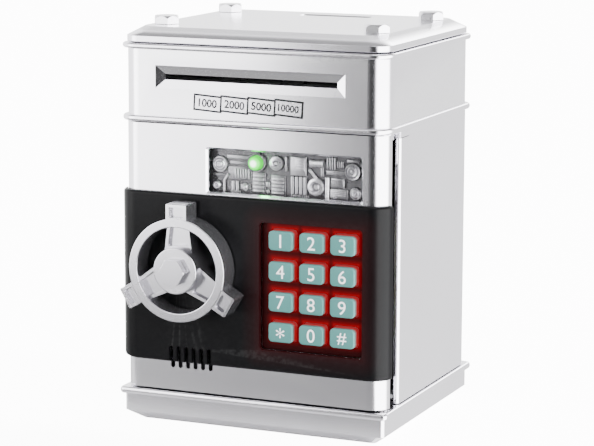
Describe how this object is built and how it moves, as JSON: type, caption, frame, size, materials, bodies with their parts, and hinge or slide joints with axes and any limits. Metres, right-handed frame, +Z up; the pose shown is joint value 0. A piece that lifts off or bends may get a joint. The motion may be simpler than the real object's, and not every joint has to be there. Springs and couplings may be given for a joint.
{
  "type": "toy safe savings bank",
  "caption": "Toy safe savings bank: hinged door with hand wheel, numbered keypad and lit window, banknote slot with a roller feeder above, coin slot in the roof.",
  "frame": {"origin": "centre of the flat underside, which rests on the table", "axes": "+Z up, the door faces -Y, +X is the hinge side, on the viewer's right from the front"},
  "size_m": [0.1404, 0.1401, 0.1975],
  "materials": {
    "silver_plastic": "metallic silver paint on plastic with a fine vertical brushed look, satin gloss",
    "black_plastic": "black plastic, satin gloss",
    "grey_plastic": "moulded grey plastic, matte",
    "teal_key": "translucent blue-green keys with pale edges and white numerals",
    "red_field": "dark keypad plate lit red from behind",
    "clear_plastic": "clear polished plastic",
    "chrome_plastic": "chromed moulded relief",
    "green_led": "lit green lamp",
    "steel": "plain steel",
    "rubber": "black rubber",
    "white_gear": "natural acetal",
    "circuit_board": "green circuit board",
    "cell_jacket": "plain printed cell jacket, no marks"
  },
  "bodies": {
    "case": {"base_pan": "silver_plastic", "body_shell": "silver_plastic", "upper_housing": "silver_plastic", "roof_lid": "silver_plastic", "roof_bolt_front_left": "silver_plastic", "roof_bolt_front_right": "silver_plastic", "roof_bolt_back_left": "silver_plastic", "roof_bolt_back_right": "silver_plastic", "vault_floor": "grey_plastic", "feeder_deck": "grey_plastic", "coin_chute": "grey_plastic", "battery_tray": "grey_plastic", "battery_door": "silver_plastic", "battery_screw": "steel", "battery_cell_1": "cell_jacket", "battery_cell_2": "cell_jacket", "battery_cell_3": "cell_jacket", "foot_pad_left": "rubber", "foot_pad_right": "rubber", "hinge_pin_lower": "steel", "hinge_pin_upper": "steel", "latch_strike": "steel", "feeder_plate_left": "grey_plastic", "feeder_plate_right": "grey_plastic", "note_guide_lower": "grey_plastic", "note_guide_upper": "grey_plastic", "note_chute": "grey_plastic", "feed_motor": "steel", "control_board": "circuit_board"},
    "door": {"door_shell": "silver_plastic", "front_panel": "black_plastic", "window_lens": "clear_plastic", "relief_panel": "chrome_plastic", "status_led": "green_led", "keypad_bezel": "red_field", "keypad_board": "circuit_board", "speaker": "black_plastic", "inner_cover": "grey_plastic", "solenoid": "steel"},
    "lock": {"hand_wheel": "silver_plastic", "lock_spindle": "silver_plastic", "latch_arm": "steel"},
    "plunger": {"lock_plunger": "steel"},
    "feed_drive": {"drive_roller": "rubber", "drive_gear": "white_gear"},
    "feed_pinch": {"pinch_roller": "rubber"},
    "feed_idler": {"idler_gear": "white_gear"},
    "feed_pinion": {"motor_pinion": "white_gear"},
    "button_1": {"key_1": "teal_key"},
    "button_2": {"key_2": "teal_key"},
    "button_3": {"key_3": "teal_key"},
    "button_4": {"key_4": "teal_key"},
    "button_5": {"key_5": "teal_key"},
    "button_6": {"key_6": "teal_key"},
    "button_7": {"key_7": "teal_key"},
    "button_8": {"key_8": "teal_key"},
    "button_9": {"key_9": "teal_key"},
    "button_star": {"key_star": "teal_key"},
    "button_0": {"key_0": "teal_key"},
    "button_hash": {"key_hash": "teal_key"}
  },
  "joints": [
    {"name": "door_swing", "type": "hinge", "parent": "case", "child": "door", "pos_m": [0.0625, -0.0475, 0.0826], "axis": [0, 0, 1], "range_deg": [0, 90]},
    {"name": "lock_turn", "type": "hinge", "parent": "door", "child": "lock", "pos_m": [-0.032, -0.06, 0.0799], "axis": [0, -1, 0], "range_deg": [0, 90]},
    {"name": "plunger_slide", "type": "slide", "parent": "door", "child": "plunger", "axis": [-1, 0, 0], "range_m": [0, 0.003]},
    {"name": "drive_spin", "type": "hinge", "parent": "case", "child": "feed_drive", "pos_m": [0, -0.038, 0.1645], "axis": [1, 0, 0], "continuous": true},
    {"name": "pinch_spin", "type": "hinge", "parent": "case", "child": "feed_pinch", "pos_m": [0, -0.038, 0.17495], "axis": [1, 0, 0], "continuous": true},
    {"name": "idler_spin", "type": "hinge", "parent": "case", "child": "feed_idler", "pos_m": [0.054, -0.01945, 0.1645], "axis": [1, 0, 0], "continuous": true},
    {"name": "pinion_spin", "type": "hinge", "parent": "case", "child": "feed_pinion", "pos_m": [0.054, -0.0073, 0.1645], "axis": [1, 0, 0], "continuous": true},
    {"name": "key_1_press", "type": "slide", "parent": "door", "child": "button_1", "axis": [0, 1, 0], "range_m": [0, 0.0012], "stiffness_N_per_m": 250},
    {"name": "key_2_press", "type": "slide", "parent": "door", "child": "button_2", "axis": [0, 1, 0], "range_m": [0, 0.0012], "stiffness_N_per_m": 250},
    {"name": "key_3_press", "type": "slide", "parent": "door", "child": "button_3", "axis": [0, 1, 0], "range_m": [0, 0.0012], "stiffness_N_per_m": 250},
    {"name": "key_4_press", "type": "slide", "parent": "door", "child": "button_4", "axis": [0, 1, 0], "range_m": [0, 0.0012], "stiffness_N_per_m": 250},
    {"name": "key_5_press", "type": "slide", "parent": "door", "child": "button_5", "axis": [0, 1, 0], "range_m": [0, 0.0012], "stiffness_N_per_m": 250},
    {"name": "key_6_press", "type": "slide", "parent": "door", "child": "button_6", "axis": [0, 1, 0], "range_m": [0, 0.0012], "stiffness_N_per_m": 250},
    {"name": "key_7_press", "type": "slide", "parent": "door", "child": "button_7", "axis": [0, 1, 0], "range_m": [0, 0.0012], "stiffness_N_per_m": 250},
    {"name": "key_8_press", "type": "slide", "parent": "door", "child": "button_8", "axis": [0, 1, 0], "range_m": [0, 0.0012], "stiffness_N_per_m": 250},
    {"name": "key_9_press", "type": "slide", "parent": "door", "child": "button_9", "axis": [0, 1, 0], "range_m": [0, 0.0012], "stiffness_N_per_m": 250},
    {"name": "key_star_press", "type": "slide", "parent": "door", "child": "button_star", "axis": [0, 1, 0], "range_m": [0, 0.0012], "stiffness_N_per_m": 250},
    {"name": "key_0_press", "type": "slide", "parent": "door", "child": "button_0", "axis": [0, 1, 0], "range_m": [0, 0.0012], "stiffness_N_per_m": 250},
    {"name": "key_hash_press", "type": "slide", "parent": "door", "child": "button_hash", "axis": [0, 1, 0], "range_m": [0, 0.0012], "stiffness_N_per_m": 250}
  ],
  "couplings": [
    {"joint": "pinch_spin", "follows": "drive_spin", "ratio": -1},
    {"joint": "idler_spin", "follows": "drive_spin", "ratio": -1.3},
    {"joint": "pinion_spin", "follows": "drive_spin", "ratio": 2.6}
  ]
}
